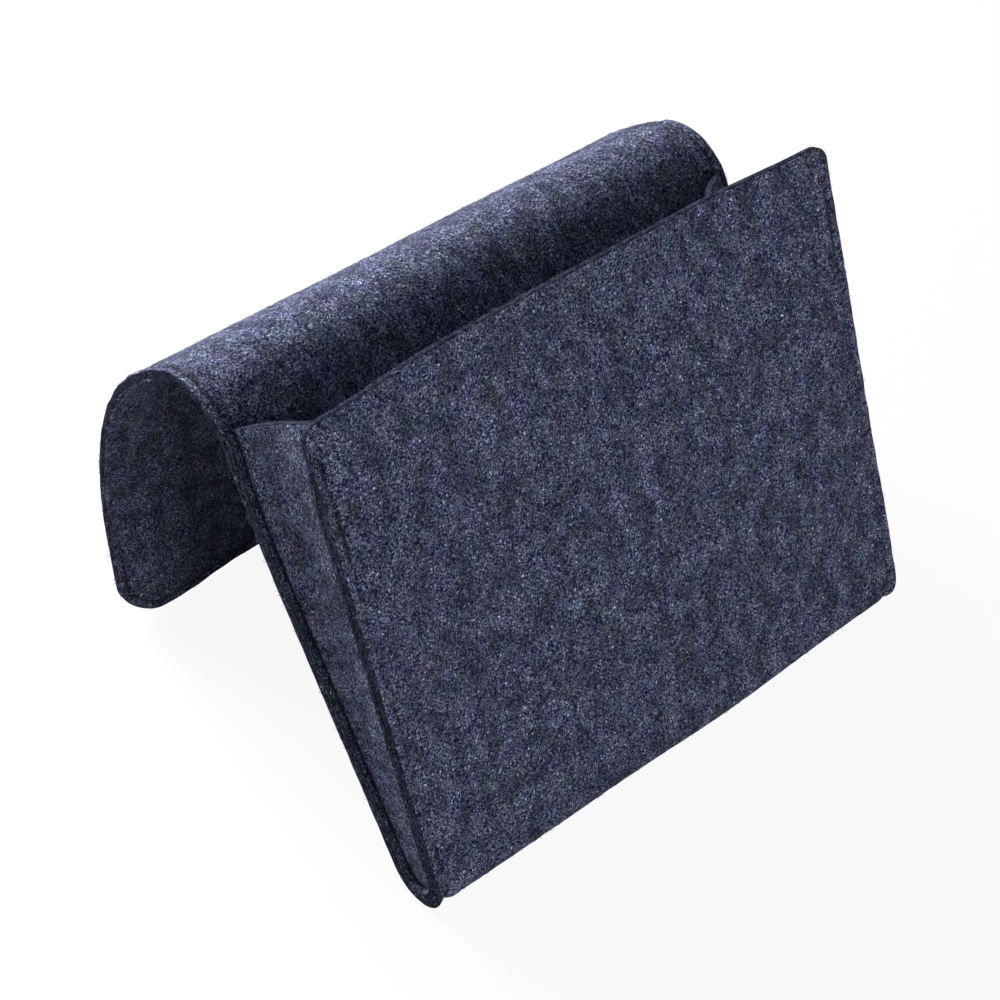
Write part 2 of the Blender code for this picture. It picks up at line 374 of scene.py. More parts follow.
def waves(x, along, size, count, seed):
    """Sum of sine waves of one size and many directions, scaled to lie about between -1 and 1."""
    random = np.random.default_rng(seed)
    total = np.zeros(np.broadcast(x, along).shape)
    for _ in range(count):
        angle = random.uniform(0, 2 * math.pi)
        phase = random.uniform(0, 2 * math.pi)
        rate = 2 * math.pi / (size * random.uniform(*WAVE_SIZE_SHARES))
        total += np.sin(rate * (x * math.cos(angle) + along * math.sin(angle)) + phase)
    return total / math.sqrt(2 * count)


def lift(x, along):
    """How far the sheet lies to the pocket's side of its middle line, or above it on the arch.

    The mouth's drape, less a bulge of the bottom fold, plus the seam's pull at the fold's two
    ends, less the crown's sag, in its middle and at its right end, and less the flap's inward
    curl near its end. To these come slow waves, and small puckers that fade in from the seams.
    """
    at_fold = bell(along - FOLD_MIDDLE, FOLD_REACH)
    bulge = FOLD_BULGE * bell(x - FOLD_BULGE_AT, FOLD_BULGE_WIDTH) * at_fold
    edge = edge_distance(x, along)
    ear = (EAR_PULL * bell(edge - SEAM_MARGIN, EAR_WIDTH) - EAR_DROP * bell(edge, EAR_WIDTH)) * at_fold
    at_crown = bell(along - MARKS["near_bend"] - CROWN_AT, CROWN_REACH)
    sag = CROWN_SAG * bell(x - CROWN_SAG_AT, CROWN_SAG_WIDTH)
    at_end = bell(along - MARKS["near_bend"] - CROWN_END_AT, CROWN_END_REACH)
    end_sag = CROWN_END_SAG * smooth((x - CROWN_END_FROM) / CROWN_END_WIDTH) * at_end
    out = np.abs(x)
    curled = smooth((out - CURL_INNER) / CURL_INNER_WIDTH) * smooth((WIDTH / 2 - out) / CURL_OUTER_WIDTH)
    near_end = smooth(1 - (END - along) / CURL_REACH)
    curl = FLAP_CURL * curled * np.where(x > 0, RIGHT_CURL_SHARE, 1.0) * near_end
    slow = SLOW_WAVE * waves(x, along, SLOW_WAVE_SIZE, SLOW_WAVES, SLOW_SEED)
    slow = slow * smooth((END - along) / OVERHANG)
    pucker = SEAM_PUCKER * waves(x, along, PUCKER_SIZE, PUCKER_WAVES, PUCKER_SEED)
    pucker = pucker * bell(edge, PUCKER_REACH)
    return mouth_draw(x, along) - bulge + ear - sag * at_crown - end_sag - curl + slow + pucker


def pressed_and_shaded_share(x, along, sewing):
    """How far the sewing presses the felt, and how much painted shade its groove gets: a bell across the
    sewn line, stronger at some places.
    """
    sewn = smooth((along - FRONT_SEAM_TOP) / sewing.groove_width) * np.interp(along, PRESSED_AND_SHADED_AT, PRESSED_AND_SHADED_BY)
    return bell(edge_distance(x, along) - SEAM_MARGIN, sewing.groove_width) * sewn


def half_thickness(x, along, sewing, seed):
    """Half the felt's thickness, less the groove, which is deeper at its start and at each hole."""
    run = seam_run(x, along)
    holes = np.square(0.5 + 0.5 * np.cos(2 * math.pi * run / sewing.stitch_length))
    start = bell(along - FRONT_SEAM_TOP - SEAM_MARGIN, SEAM_MARGIN)
    groove = sewing.groove_depth * (1 + sewing.hole_depth_share * holes + sewing.start_depth_share * start)
    pressed = groove * pressed_and_shaded_share(x, along, sewing)
    relief = FELT_RELIEF * waves(x, along, RELIEF_SIZE, RELIEF_WAVES, seed)
    relief = relief * smooth(edge_distance(x, along) / SEAM_MARGIN)
    return np.maximum(FELT / 2 - pressed + relief, THINNEST)


def round_inset(to_edge, radius):
    """How far a corner's arc lies in from the side.

    It is the radius less the root of the radius squared less the rest squared, where the rest is
    what the radius has left at that distance to the edge.
    """
    rest = np.clip(radius - to_edge, 0.0, radius)
    return radius - np.sqrt(radius * radius - rest * rest)


def flat_sheet(columns, rows, inset):
    """Flat places of a strip: columns are shares of half its width, drawn in at the rounded corners.

    A free end moves in by the inset as the sides do, and the rows between follow in proportion.
    """
    start = rows[0] + (inset if rows[0] <= 0 else 0.0)
    end = rows[-1] - (inset if rows[-1] >= END else 0.0)
    along = start + (rows - rows[0]) * (end - start) / (rows[-1] - rows[0])
    half = WIDTH / 2 - inset
    half = half - round_inset(along - inset, MOUTH_CORNER_RADIUS - inset)
    half = half - round_inset(END - inset - along, FLAP_CORNER_RADIUS - inset)
    return columns[None, :] * half[:, None], np.repeat(along[:, None], len(columns), axis=1)


def sheet_columns():
    """Column shares across the sheet: fine steps beside each cut edge, wider ones in the middle."""
    fine = np.arange(0.0, EDGE_BAND, EDGE_STEP)
    near = np.arange(EDGE_BAND, NEAR_BAND, NEAR_STEP)
    wide = np.linspace(NEAR_BAND, WIDTH / 2, math.ceil((WIDTH / 2 - NEAR_BAND) / MIDDLE_STEP))
    half = 1 - np.concatenate([fine, near, wide]) / (WIDTH / 2)
    return np.concatenate([-half[:-1], half[::-1]])


def sheet_rows(start, end):
    """Row distances along the sheet: even steps, and even angles through a rounded corner."""
    rows = np.linspace(start, end, math.ceil((end - start) / ROW_STEP) + 1)
    angles = np.linspace(0, math.pi / 2, CORNER_ROWS + 1)
    if start <= 0:
        arc = MOUTH_CORNER_RADIUS * (1 - np.cos(angles))
        rows = np.concatenate([arc, rows[rows > MOUTH_CORNER_RADIUS + ROW_STEP / 2]])
    if end >= END:
        arc = END - FLAP_CORNER_RADIUS * (1 - np.cos(np.linspace(0, math.pi / 2, 2 * CORNER_ROWS + 1)))
        rows = np.concatenate([rows[rows < END - FLAP_CORNER_RADIUS - ROW_STEP / 2], arc[::-1]])
    return rows


def grid_quads(rows, columns):
    """Corner numbers of a grid's faces, turning from the columns' direction to the rows'."""
    index = np.arange(rows * columns).reshape(rows, columns)
    corners = (index[:-1, :-1], index[:-1, 1:], index[1:, 1:], index[1:, :-1])
    return np.stack(corners, axis=-1).reshape(-1, 4)


def rim_numbers(rows, columns):
    """Numbers of the grid's points once round its rim."""
    index = np.arange(rows * columns).reshape(rows, columns)
    return np.concatenate([index[0, :-1], index[:-1, -1], index[-1, :0:-1], index[:0:-1, 0]])


def mesh_object(name, points, quads, uv, material_numbers, flat_faces, materials, pressed=None):
    """Puts whole arrays of points, faces and face-corner UVs into a mesh object at the origin.

    The pressed share of each point, where given, is kept for the material, which paints shade in the sewn
    grooves by it.
    """
    mesh = bpy.data.meshes.new(name)
    mesh.vertices.add(len(points))
    mesh.vertices.foreach_set("co", np.asarray(points, dtype=np.float32).ravel())
    mesh.loops.add(quads.size)
    mesh.loops.foreach_set("vertex_index", quads.astype(np.int32).ravel())
    mesh.polygons.add(len(quads))
    sides = quads.shape[1]
    mesh.polygons.foreach_set("loop_start", np.arange(0, quads.size, sides, dtype=np.int32))
    mesh.polygons.foreach_set("use_smooth", ~flat_faces)
    for material in materials:
        mesh.materials.append(material)
    mesh.polygons.foreach_set("material_index", material_numbers.astype(np.int32))
    layer = mesh.uv_layers.new(name="flat cloth")
    layer.uv.foreach_set("vector", np.asarray(uv, dtype=np.float32).ravel())
    if pressed is not None:
        shares = mesh.attributes.new("pressed", "FLOAT", "POINT")
        shares.data.foreach_set("value", np.asarray(pressed, dtype=np.float32))
    mesh.update(calc_edges=True)
    mesh.validate()
    piece = bpy.data.objects.new(name, mesh)
    bpy.context.collection.objects.link(piece)
    return piece


def edge_levels(thickness):
    """Insets and levels down the cut edge: a quarter turn, the flat cut, and a quarter turn."""
    turns = np.array(EDGE_TURN_SHARES) * math.pi / 2
    insets = EDGE_ROUND * (1 - np.sin(turns))
    levels = 1 - EDGE_ROUND / (thickness / 2) * (1 - np.cos(turns))
    return list(zip(insets, levels)) + list(zip(insets[::-1], -levels[::-1]))


def rim_bands(rings, steps, flat_rim, outwards):
    """Faces and flat coordinates of the bands that join one ring of points to the next.

    A band's flat coordinates start at the rim and go on outwards by the length of the path so far.
    """
    following = np.roll(np.arange(len(flat_rim)), -1)
    faces = []
    uv = []
    path = 0.0
    for near_ring, far_ring, near_step, far_step in zip(rings[:-1], rings[1:], steps[:-1], steps[1:]):
        faces.append(np.stack([near_ring, far_ring, far_ring[following], near_ring[following]], axis=-1))
        drop = abs(near_step[1] - far_step[1]) * FELT / 2
        step = math.hypot(drop, near_step[0] - far_step[0])
        near = flat_rim + outwards * path
        far = flat_rim + outwards * (path + step)
        uv.append(np.stack([near, far, far[following], near[following]], axis=1))
        path += step
    return faces, uv


def felt_shell(name, skin, flat, pressed, materials, join_rows=(False, False), shift=0.0):
    """A closed sheet of felt from skin(inset, level), which gives its points at a level from 1 to -1.

    The two faces are whole grids. Round the rim, rings of points go from one face over the
    rounded edges and the flat cut to the other, and the felt's flat coordinates go with them.
    The lower face's flat coordinates lie one width further, so that its pattern is another.
    """
    steps = edge_levels(FELT)
    upper = skin(*steps[0])
    rows, columns = upper.shape[:2]
    rim = rim_numbers(rows, columns)
    count = rows * columns
    points = [upper.reshape(-1, 3), skin(*steps[-1]).reshape(-1, 3)]
    rings = [rim]
    for number, step in enumerate(steps[1:-1]):
        points.append(skin(*step).reshape(-1, 3)[rim])
        rings.append(2 * count + number * len(rim) + np.arange(len(rim)))
    rings.append(rim + count)

    quads = grid_quads(rows, columns)
    place = np.stack(flat(steps[0][0]), axis=-1).reshape(-1, 2)
    outer = np.stack(flat(0.0), axis=-1).reshape(-1, 2)[rim]
    outwards = outer - place[rim]
    outwards /= np.maximum(np.linalg.norm(outwards, axis=1, keepdims=True), EDGE_ROUND / 10)
    bands, band_uv = rim_bands(rings, steps, place[rim] + shift, outwards)
    uv = [place[quads] + shift, place[quads[:, ::-1]] + shift + WIDTH, *band_uv]

    on_join = np.zeros(len(rim), dtype=bool)
    if join_rows[0]:
        on_join[: columns - 1] = True
    if join_rows[1]:
        on_join[columns + rows - 2 : 2 * columns + rows - 3] = True
    faces = np.concatenate([quads, quads[:, ::-1] + count, *bands])
    band_start = 2 * len(quads)
    flat_faces = np.zeros(len(faces), dtype=bool)
    flat_faces[band_start:] = np.tile(on_join, len(bands))
    material_numbers = np.zeros(len(faces), dtype=int)
    material_numbers[band_start:] = 1
    points = np.concatenate(points)
    shares = np.zeros(len(points))
    shares[: 2 * count] = np.tile(pressed.ravel(), 2)
    uv = np.concatenate([part.reshape(-1, 2) for part in uv])
    return mesh_object(name, points, faces, uv, material_numbers, flat_faces, materials, shares)


def sheet_piece(name, start, end, sewing, materials):
    """A strip of the long sheet between two distances along it, as a closed shell."""
    columns = sheet_columns()
    rows = sheet_rows(start, end)

    def flat(inset):
        return flat_sheet(columns, rows, inset)

    def skin(inset, level):
        x, along = flat(inset)
        seed = SHEET_SEEDS["upper" if level > 0 else "lower"]
        height = lift(x, along) + level * half_thickness(x, along, sewing, seed)
        return as_cut(x, along, height)

    joins = (start > 0, end < END)
    # The pressed share is also kept on the points, for the painted shade in the grooves.
    pressed = pressed_and_shaded_share(*flat(0.0), sewing)
    return felt_shell(name, skin, flat, pressed, materials, joins)


def gusset_middle(side):
    """Middle surface of a gusset: back flange, web folded inwards, front flange, at each reach.

    A row joins two points of the sheet at one distance from the fold's middle. Between the two
    seams the web runs straight across, drawn inwards by a quarter sine in from the back times
    one in from the front, deeper with the reach. A running mean across the columns then rounds the
    turns at the seams. Near the top the front's point rises and the flanges are trimmed in, by
    smoothsteps, and the front flange springs off the panel a little at its cut edge.
    """
    top = GUSSET_TOP - FOLD_MIDDLE
    reach = np.linspace(top * FIRST_REACH_SHARE, top, math.ceil(top / ROW_STEP))[:, None]
    flange = np.linspace(0, SEAM_MARGIN, FLANGE_SPLITS + 1)
    web = np.linspace(0, 1, WEB_SPLITS + 1)[1:-1]
    from_edge = np.concatenate([flange, np.full(len(web), SEAM_MARGIN), flange[::-1]])[None, :]
    share = np.concatenate([np.zeros(len(flange)), web, np.ones(len(flange))])[None, :]
    tuck = LEFT_TUCK if side < 0 else RIGHT_TUCK
    trim = np.where(share < 0.5, tuck["back_trim"], FRONT_TRIM) * smooth(1 - (top - reach) / TRIM_REACH)
    risen = reach + tuck["rise"] * smooth(1 - (top - reach) / RISE_REACH)
    from_edge = from_edge + trim * (1 - from_edge / SEAM_MARGIN)
    x = side * (WIDTH / 2 - from_edge)
    offset = FELT + SEAM_GAP
    spring = smooth((reach / top - SPRING_FROM_SHARE) / SPRING_OVER_SHARE)
    spring = spring * FLANGE_SPRING * (1 - from_edge / SEAM_MARGIN)
    back = as_cut(x, FOLD_MIDDLE + reach, offset + lift(x, FOLD_MIDDLE + reach))
    front = as_cut(x, FOLD_MIDDLE - risen, offset + spring + lift(x, FOLD_MIDDLE - risen))
    points = back + (front - back) * share[..., None]
    above = np.maximum(reach - (MARKS["fold"] - FOLD_MIDDLE), 0.0)
    sag = 1 + GUSSET_WAVE_SHARE * np.sin(above / GUSSET_WAVE_LENGTH * 2 * math.pi)
    tucked = quarter_sine(share / tuck["back_share"]) * quarter_sine((1 - share) / tuck["front_share"])
    points[..., 0] -= side * tuck["depth"] * above / GUSSET_SEAM * sag * tucked
    for _ in range(CROSS_SMOOTHING):
        points[:, 1:-1] = (points[:, :-2] + 2 * points[:, 1:-1] + points[:, 2:]) / 4
    return points, reach


def gusset_piece(name, side, sewing, materials):
    """A gusset as a closed shell: half its thickness to each side along the surface's normal."""
    points, reach = gusset_middle(side)
    down = np.gradient(points, axis=0)
    across = np.gradient(points, axis=1)
    normal = np.cross(across, down)
    normal /= np.linalg.norm(normal, axis=2, keepdims=True)
    steps = np.linalg.norm(np.diff(points, axis=1), axis=2)
    width = np.concatenate([np.zeros((len(points), 1)), np.cumsum(steps, axis=1)], axis=1)
    centred = width - width[:, -1:] / 2
    rows = np.repeat(reach, points.shape[1], axis=1)
    to_seam = np.minimum(width, width[:, -1:] - width) - SEAM_MARGIN
    at_back = np.arange(points.shape[1])[None, :] < points.shape[1] / 2
    # The pressed share deepens the groove and sets the painted shade; at the back it is wider, for the root
    # crease's shade.
    pressed = bell(to_seam, sewing.groove_width * np.where(at_back, ROOT_GROOVE_AND_SHADE_WIDENING, 1.0))

    def flat(inset):
        return rows - inset * (rows == rows[-1, 0]), centred * (1 - inset / (FELT + width[:, -1:]))

    def skin(inset, level):
        place = points.copy()
        for edge, inner in ((0, 1), (-1, -2)):
            inwards = points[:, inner] - points[:, edge]
            inwards = inwards / np.linalg.norm(inwards, axis=1, keepdims=True)
            place[:, edge] += inwards * inset
        inwards = points[-2] - points[-1]
        place[-1] += inwards / np.linalg.norm(inwards, axis=1, keepdims=True) * inset
        seed = GUSSET_SEEDS["upper" if level > 0 else "lower"]
        relief = FELT_RELIEF * waves(centred, rows, RELIEF_SIZE, RELIEF_WAVES, seed)
        half = FELT / 2 - sewing.groove_depth * pressed + relief
        return place + normal * (level * half)[..., None]

    shift = WIDTH * GUSSET_PATTERN_WIDTHS[side]
    shell = felt_shell(name, skin, flat, pressed, materials, shift=shift)
    return shell, float(width[-1, -1]), float(width[:, -1].mean())


def thread_tubes(name, rows, sewing, material):
    """Stitches as short tubes in the groove, each dipping into its two needle holes.

    A row is a side, a face, the height of its felt's middle, and its stitches' middles along the
    sewn line. Along a stitch the height falls with the fourth power of the distance from its
    middle, and the radius is the root of one less the taper times its eighth power. Round it,
    places go by sine and cosine.
    """
    half = sewing.stitch_length * sewing.stitch_fill / 2
    radius = sewing.thread_thickness / 2
    steps = np.linspace(-1, 1, THREAD_STEPS)[None, :, None]
    angles = np.linspace(0, 2 * math.pi, THREAD_SIDES, endpoint=False)[None, None, :]
    slim = np.sqrt(1 - STITCH_TAPER * steps**8)
    floor = FELT / 2 - sewing.groove_depth + radius * THREAD_PROUD_SHARE
    height = floor - sewing.groove_depth * steps**4 + radius * slim * np.sin(angles)
    points = []
    for side, face, middle, runs in rows:
        x, along = seam_place(runs[:, None, None] + half * steps, radius * slim * np.cos(angles), side)
        points.append(as_cut(x, along, lift(x, along) + middle + face * height))
    return small_tubes(name, np.concatenate(points), material)


def tube_faces(rings, sides):
    """Corner numbers of one closed tube: its wall, ring by ring, and each end as a fan of quads."""
    ring = np.arange(sides)
    following = np.roll(ring, -1)
    first = np.arange(rings - 1)[:, None] * sides
    corners = (first + ring, first + following, first + sides + following, first + sides + ring)
    walls = np.stack(corners, axis=-1).reshape(-1, 4)
    near_end = np.array([(0, corner + 2, corner + 1, corner) for corner in range(1, sides - 2, 2)])
    far_end = near_end[:, ::-1] + (rings - 1) * sides
    return np.concatenate([walls, near_end, far_end])


def small_tubes(name, points, material):
    """One mesh of many like tubes, from an array of tubes by rings by sides."""
    count, rings, sides = points.shape[:3]
    starts = np.arange(count)[:, None, None] * rings * sides
    faces = (tube_faces(rings, sides)[None] + starts).reshape(-1, 4)
    points = points.reshape(-1, 3)
    uv = points[faces][..., :2]
    first_material = np.zeros(len(faces), dtype=int)
    none_flat = np.zeros(len(faces), dtype=bool)
    piece = mesh_object(name, points, faces, uv, first_material, none_flat, [material])
    turn_faces_out(piece)
    return piece


def turn_faces_out(piece):
    """Recalculates the normals, so that every closed tube faces outwards."""
    work = bmesh.new()
    work.from_mesh(piece.data)
    bmesh.ops.recalc_face_normals(work, faces=work.faces)
    work.to_mesh(piece.data)
    work.free()


# Shader helpers
def add_node(tree, kind, label="", **values):
    """Adds a shader node and sets its named inputs."""
    node = tree.nodes.new(kind)
    node.label = label
    for name, value in values.items():
        node.inputs[name].default_value = value
    return node


def mix_colours(tree, factor, first, second, label="", blend="MIX"):
    """A colour mix; each input is a socket, or a colour to set on the node."""
    node = tree.nodes.new("ShaderNodeMix")
    node.data_type = "RGBA"
    node.blend_type = blend
    node.label = label
    for socket, value in ((node.inputs[0], factor), (node.inputs[6], first), (node.inputs[7], second)):
        if isinstance(value, bpy.types.NodeSocket):
            tree.links.new(value, socket)
        else:
            socket.default_value = value
    return node.outputs[2]


def maths(tree, operation, first, second=None, label=""):
    """A sum on two values; each is a socket, or a number to set on the node."""
    node = tree.nodes.new("ShaderNodeMath")
    node.operation = operation
    node.label = label
    for socket, value in zip(node.inputs, (first, second)):
        if value is None:
            continue
        if isinstance(value, bpy.types.NodeSocket):
            tree.links.new(value, socket)
        else:
            socket.default_value = value
    return node.outputs[0]


def remap(tree, value, low, high, to_low=0.0, to_high=1.0, label=""):
    """Smoothstep of a value between low and high, put out between two others."""
    node = tree.nodes.new("ShaderNodeMapRange")
    node.label = label
    node.interpolation_type = "SMOOTHSTEP"
    tree.links.new(value, node.inputs["Value"])
    node.inputs["From Min"].default_value = low
    node.inputs["From Max"].default_value = high
    node.inputs["To Min"].default_value = to_low
    node.inputs["To Max"].default_value = to_high
    return node.outputs["Result"]


def noise(tree, vector, scale, detail, label, distortion=0.0):
    """A flat noise of the cloth."""
    node = add_node(tree, "ShaderNodeTexNoise", label, Scale=scale, Detail=detail, Distortion=distortion)
    node.noise_dimensions = "2D"
    tree.links.new(vector, node.inputs["Vector"])
    return node


def fibre_layer(tree, vector, turn_deg, label):
    """Short separate strokes of one direction: the cells of a stretched field of random points."""
    mapping = add_node(tree, "ShaderNodeMapping", label + " direction")
    mapping.vector_type = "TEXTURE"
    mapping.inputs["Rotation"].default_value = (0, 0, math.radians(turn_deg))
    shift_x, shift_y = FIBRE_SHIFT_PER_DEG
    mapping.inputs["Location"].default_value = (turn_deg * shift_x, turn_deg * shift_y, 0)
    mapping.inputs["Scale"].default_value = (1 / FIBRES_ALONG, 1 / FIBRES_ACROSS, 1.0)
    tree.links.new(vector, mapping.inputs["Vector"])
    cells = add_node(tree, "ShaderNodeTexVoronoi", label, Scale=1.0, Randomness=1.0)
    cells.voronoi_dimensions = "2D"
    tree.links.new(mapping.outputs["Vector"], cells.inputs["Vector"])
    stroke = remap(tree, cells.outputs["Distance"], FIBRE_WIDE, FIBRE_WIDE / 3, 0.0, 1.0, label + " stroke")
    parts = tree.nodes.new("ShaderNodeSeparateColor")
    tree.links.new(cells.outputs["Color"], parts.inputs[0])
    strength = maths(tree, "POWER", parts.outputs[0], FIBRE_FADE_POWER, label + " strength")
    return maths(tree, "MULTIPLY", stroke, strength)


def felt_group():
    """Heathered felt: curly light fibres over a speckled ground, which clouds and drifts in hue, and
    painted shade in the sewn grooves.
    """
    group = bpy.data.node_groups.new("heathered felt", "ShaderNodeTree")
    face = group.interface
    face.new_socket("Flat cloth", in_out="INPUT", socket_type="NodeSocketVector")
    for name in ("Ground", "Light fibre", "Dark fibre"):
        face.new_socket(name, in_out="INPUT", socket_type="NodeSocketColor")
    for name in ("Size", "Light amount", "Clouds", "Hue drift", "Pressed", "Painted groove shade"):
        face.new_socket(name, in_out="INPUT", socket_type="NodeSocketFloat")
    face.new_socket("Colour", in_out="OUTPUT", socket_type="NodeSocketColor")
    face.new_socket("Height", in_out="OUTPUT", socket_type="NodeSocketFloat")
    given = group.nodes.new("NodeGroupInput")
    result = group.nodes.new("NodeGroupOutput")

    per_metre = maths(group, "DIVIDE", 1000.0, given.outputs["Size"], "millimetres over the fibres' size")
    flat = group.nodes.new("ShaderNodeVectorMath")
    flat.operation = "SCALE"
    group.links.new(given.outputs["Flat cloth"], flat.inputs[0])
    group.links.new(per_metre, flat.inputs["Scale"])
    warp = noise(group, flat.outputs[0], CURLS_PER_MM, 1.0, "curl")
    curl = group.nodes.new("ShaderNodeVectorMath")
    curl.operation = "MULTIPLY_ADD"
    group.links.new(warp.outputs["Color"], curl.inputs[0])
    curl.inputs[1].default_value = (CURL_MM, CURL_MM, 0.0)
    group.links.new(flat.outputs[0], curl.inputs[2])
    curled = curl.outputs[0]

    light = None
    for turn in FIBRE_TURNS_DEG:
        layer = fibre_layer(group, curled, turn, "fibres")
        light = layer if light is None else maths(group, "MAXIMUM", light, layer)
    specks = noise(group, curled, SPECKS_PER_MM, 1.0, "specks").outputs["Fac"]
    speck_tone = remap(group, specks, *SPECK_RANGE)
    stretched = add_node(group, "ShaderNodeMapping", "clouds run along the cloth")
    stretched.inputs["Scale"].default_value = CLOUD_STRETCH
    group.links.new(flat.outputs[0], stretched.inputs["Vector"])
    clouds = noise(group, stretched.outputs["Vector"], CLOUDS_PER_MM, 3.0, "clouds", CLOUD_DISTORTION)
    cloud_tone = remap(group, clouds.outputs["Fac"], *CLOUD_RANGE, -1.0, 1.0)
    cloud_tone = maths(group, "MULTIPLY", cloud_tone, given.outputs["Clouds"])
    drifts = noise(group, flat.outputs[0], HUE_DRIFTS_PER_MM, 2.0, "drifts of hue").outputs["Color"]

    ground = mix_colours(group, speck_tone, given.outputs["Dark fibre"], given.outputs["Ground"], "specks")
    lit_share = maths(group, "MULTIPLY", light, given.outputs["Light amount"], "light fibres")
    lit_share.node.use_clamp = True
    fibres = mix_colours(group, lit_share, ground, given.outputs["Light fibre"], "light fibres")
    hue = mix_colours(group, given.outputs["Hue drift"], (1.0, 1.0, 1.0, 1.0), drifts, "drift")
    tinted = mix_colours(group, 1.0, fibres, hue, "tinted", "MULTIPLY")
    tone = maths(group, "MULTIPLY_ADD", cloud_tone, CLOUD_TONE, "cloud tone")
    tone.node.inputs[2].default_value = 1.0
    # Painted shade in the sewn grooves: the colour darkens by the pressed share times the painted groove
    # shade.
    shade = maths(group, "MULTIPLY", given.outputs["Pressed"], given.outputs["Painted groove shade"])
    tone = maths(group, "MULTIPLY", tone, maths(group, "SUBTRACT", 1.0, shade), "painted shade in the grooves")
    toned = group.nodes.new("ShaderNodeVectorMath")
    toned.operation = "SCALE"
    group.links.new(tinted, toned.inputs[0])
    group.links.new(tone, toned.inputs["Scale"])
    group.links.new(toned.outputs[0], result.inputs["Colour"])
    height = maths(group, "MULTIPLY_ADD", speck_tone, SPECK_RELIEF_SHARE, "relief")
    group.links.new(light, height.node.inputs[2])
    group.links.new(height, result.inputs["Height"])
    return group


def felt_material(name, group, colours, ground, finish):
    """A felt surface: the group's colours and height, on a rough shader with a soft sheen."""
    material = bpy.data.materials.new(name)
    material.use_nodes = True
    tree = material.node_tree
    shader = tree.nodes["Principled BSDF"]
    flat = tree.nodes.new("ShaderNodeUVMap")
    flat.uv_map = "flat cloth"
    # The points' pressed share, which paints shade into the grooves' colour.
    pressed = tree.nodes.new("ShaderNodeAttribute")
    pressed.attribute_name = "pressed"
    felt = tree.nodes.new("ShaderNodeGroup")
    felt.node_tree = group
    for socket, value in (
        ("Ground", (*ground, 1.0)),
        ("Light fibre", (*colours.light_fibre, 1.0)),
        ("Dark fibre", (*colours.dark_fibre, 1.0)),
        ("Size", colours.fibre_size),
        ("Light amount", finish["light_amount"]),
        ("Clouds", finish["clouds"]),
        ("Hue drift", colours.hue_drift),
        ("Painted groove shade", colours.painted_groove_shade),
    ):
        felt.inputs[socket].default_value = value
    tree.links.new(flat.outputs["UV"], felt.inputs["Flat cloth"])
    tree.links.new(pressed.outputs["Fac"], felt.inputs["Pressed"])
    tree.links.new(felt.outputs["Colour"], shader.inputs["Base Color"])
    bump = add_node(
        tree, "ShaderNodeBump", "fibre relief", Strength=finish["relief"], Distance=RELIEF_HEIGHT
    )
    tree.links.new(felt.outputs["Height"], bump.inputs["Height"])
    tree.links.new(bump.outputs["Normal"], shader.inputs["Normal"])
    shader.inputs["Roughness"].default_value = 0.95
    shader.inputs["Specular IOR Level"].default_value = finish["specular"]
    shader.inputs["Sheen Weight"].default_value = colours.sheen * finish["sheen_share"]
    shader.inputs["Sheen Roughness"].default_value = 0.45
    shader.inputs["Sheen Tint"].default_value = (*SHEEN_TINT, 1.0)


def thread_material(colours):
    """Twisted thread: a fine slanting band on the object's coordinates."""
    material = bpy.data.materials.new("sewing thread")
    material.use_nodes = True
    tree = material.node_tree
    shader = tree.nodes["Principled BSDF"]
    place = tree.nodes.new("ShaderNodeTexCoord")
    twist = add_node(tree, "ShaderNodeTexWave", "twist", Scale=TWISTS_PER_M, Distortion=1.0)
    twist.bands_direction = "DIAGONAL"
    tree.links.new(place.outputs["Object"], twist.inputs["Vector"])
    dark = tuple(THREAD_DARK_SHARE * value for value in colours.thread)
    colour = mix_colours(tree, twist.outputs["Fac"], (*dark, 1.0), (*colours.thread, 1.0), "strands")
    tree.links.new(colour, shader.inputs["Base Color"])
    shader.inputs["Roughness"].default_value = 0.7


def fibre_material(colours):
    """Loose fibres: each takes a light or a dark colour from a noise finer than their spacing."""
    material = bpy.data.materials.new("loose fibres")
    material.use_nodes = True
    tree = material.node_tree
    shader = tree.nodes["Principled BSDF"]
    place = tree.nodes.new("ShaderNodeTexCoord")
    pick = add_node(tree, "ShaderNodeTexNoise", "pick", Scale=PICKS_PER_M, Detail=1.0)
    tree.links.new(place.outputs["Object"], pick.inputs["Vector"])
    choice = remap(tree, pick.outputs["Fac"], *PICK_RANGE)
    light = tuple(LOOSE_LIGHT_SHARE * value for value in colours.light_fibre)
    colour = mix_colours(tree, choice, (*colours.ground, 1.0), (*light, 1.0), "light or dark")
    tree.links.new(colour, shader.inputs["Base Color"])
    shader.inputs["Roughness"].default_value = 0.9


def caddy_material(name):
    """One of the caddy's materials. All are made when the first is asked for, and then shared."""
    if name not in bpy.data.materials:
        colours = bpy.context.scene.caddy_felt
        group = felt_group()
        felt_material("felt face", group, colours, colours.ground, FACE_FINISH)
        felt_material("felt cut edge", group, colours, colours.cut_edge, EDGE_FINISH)
        thread_material(colours)
        fibre_material(colours)
    return bpy.data.materials[name]


def felt_materials():
    """The felt's face and its cut edge."""
    return [caddy_material("felt face"), caddy_material("felt cut edge")]


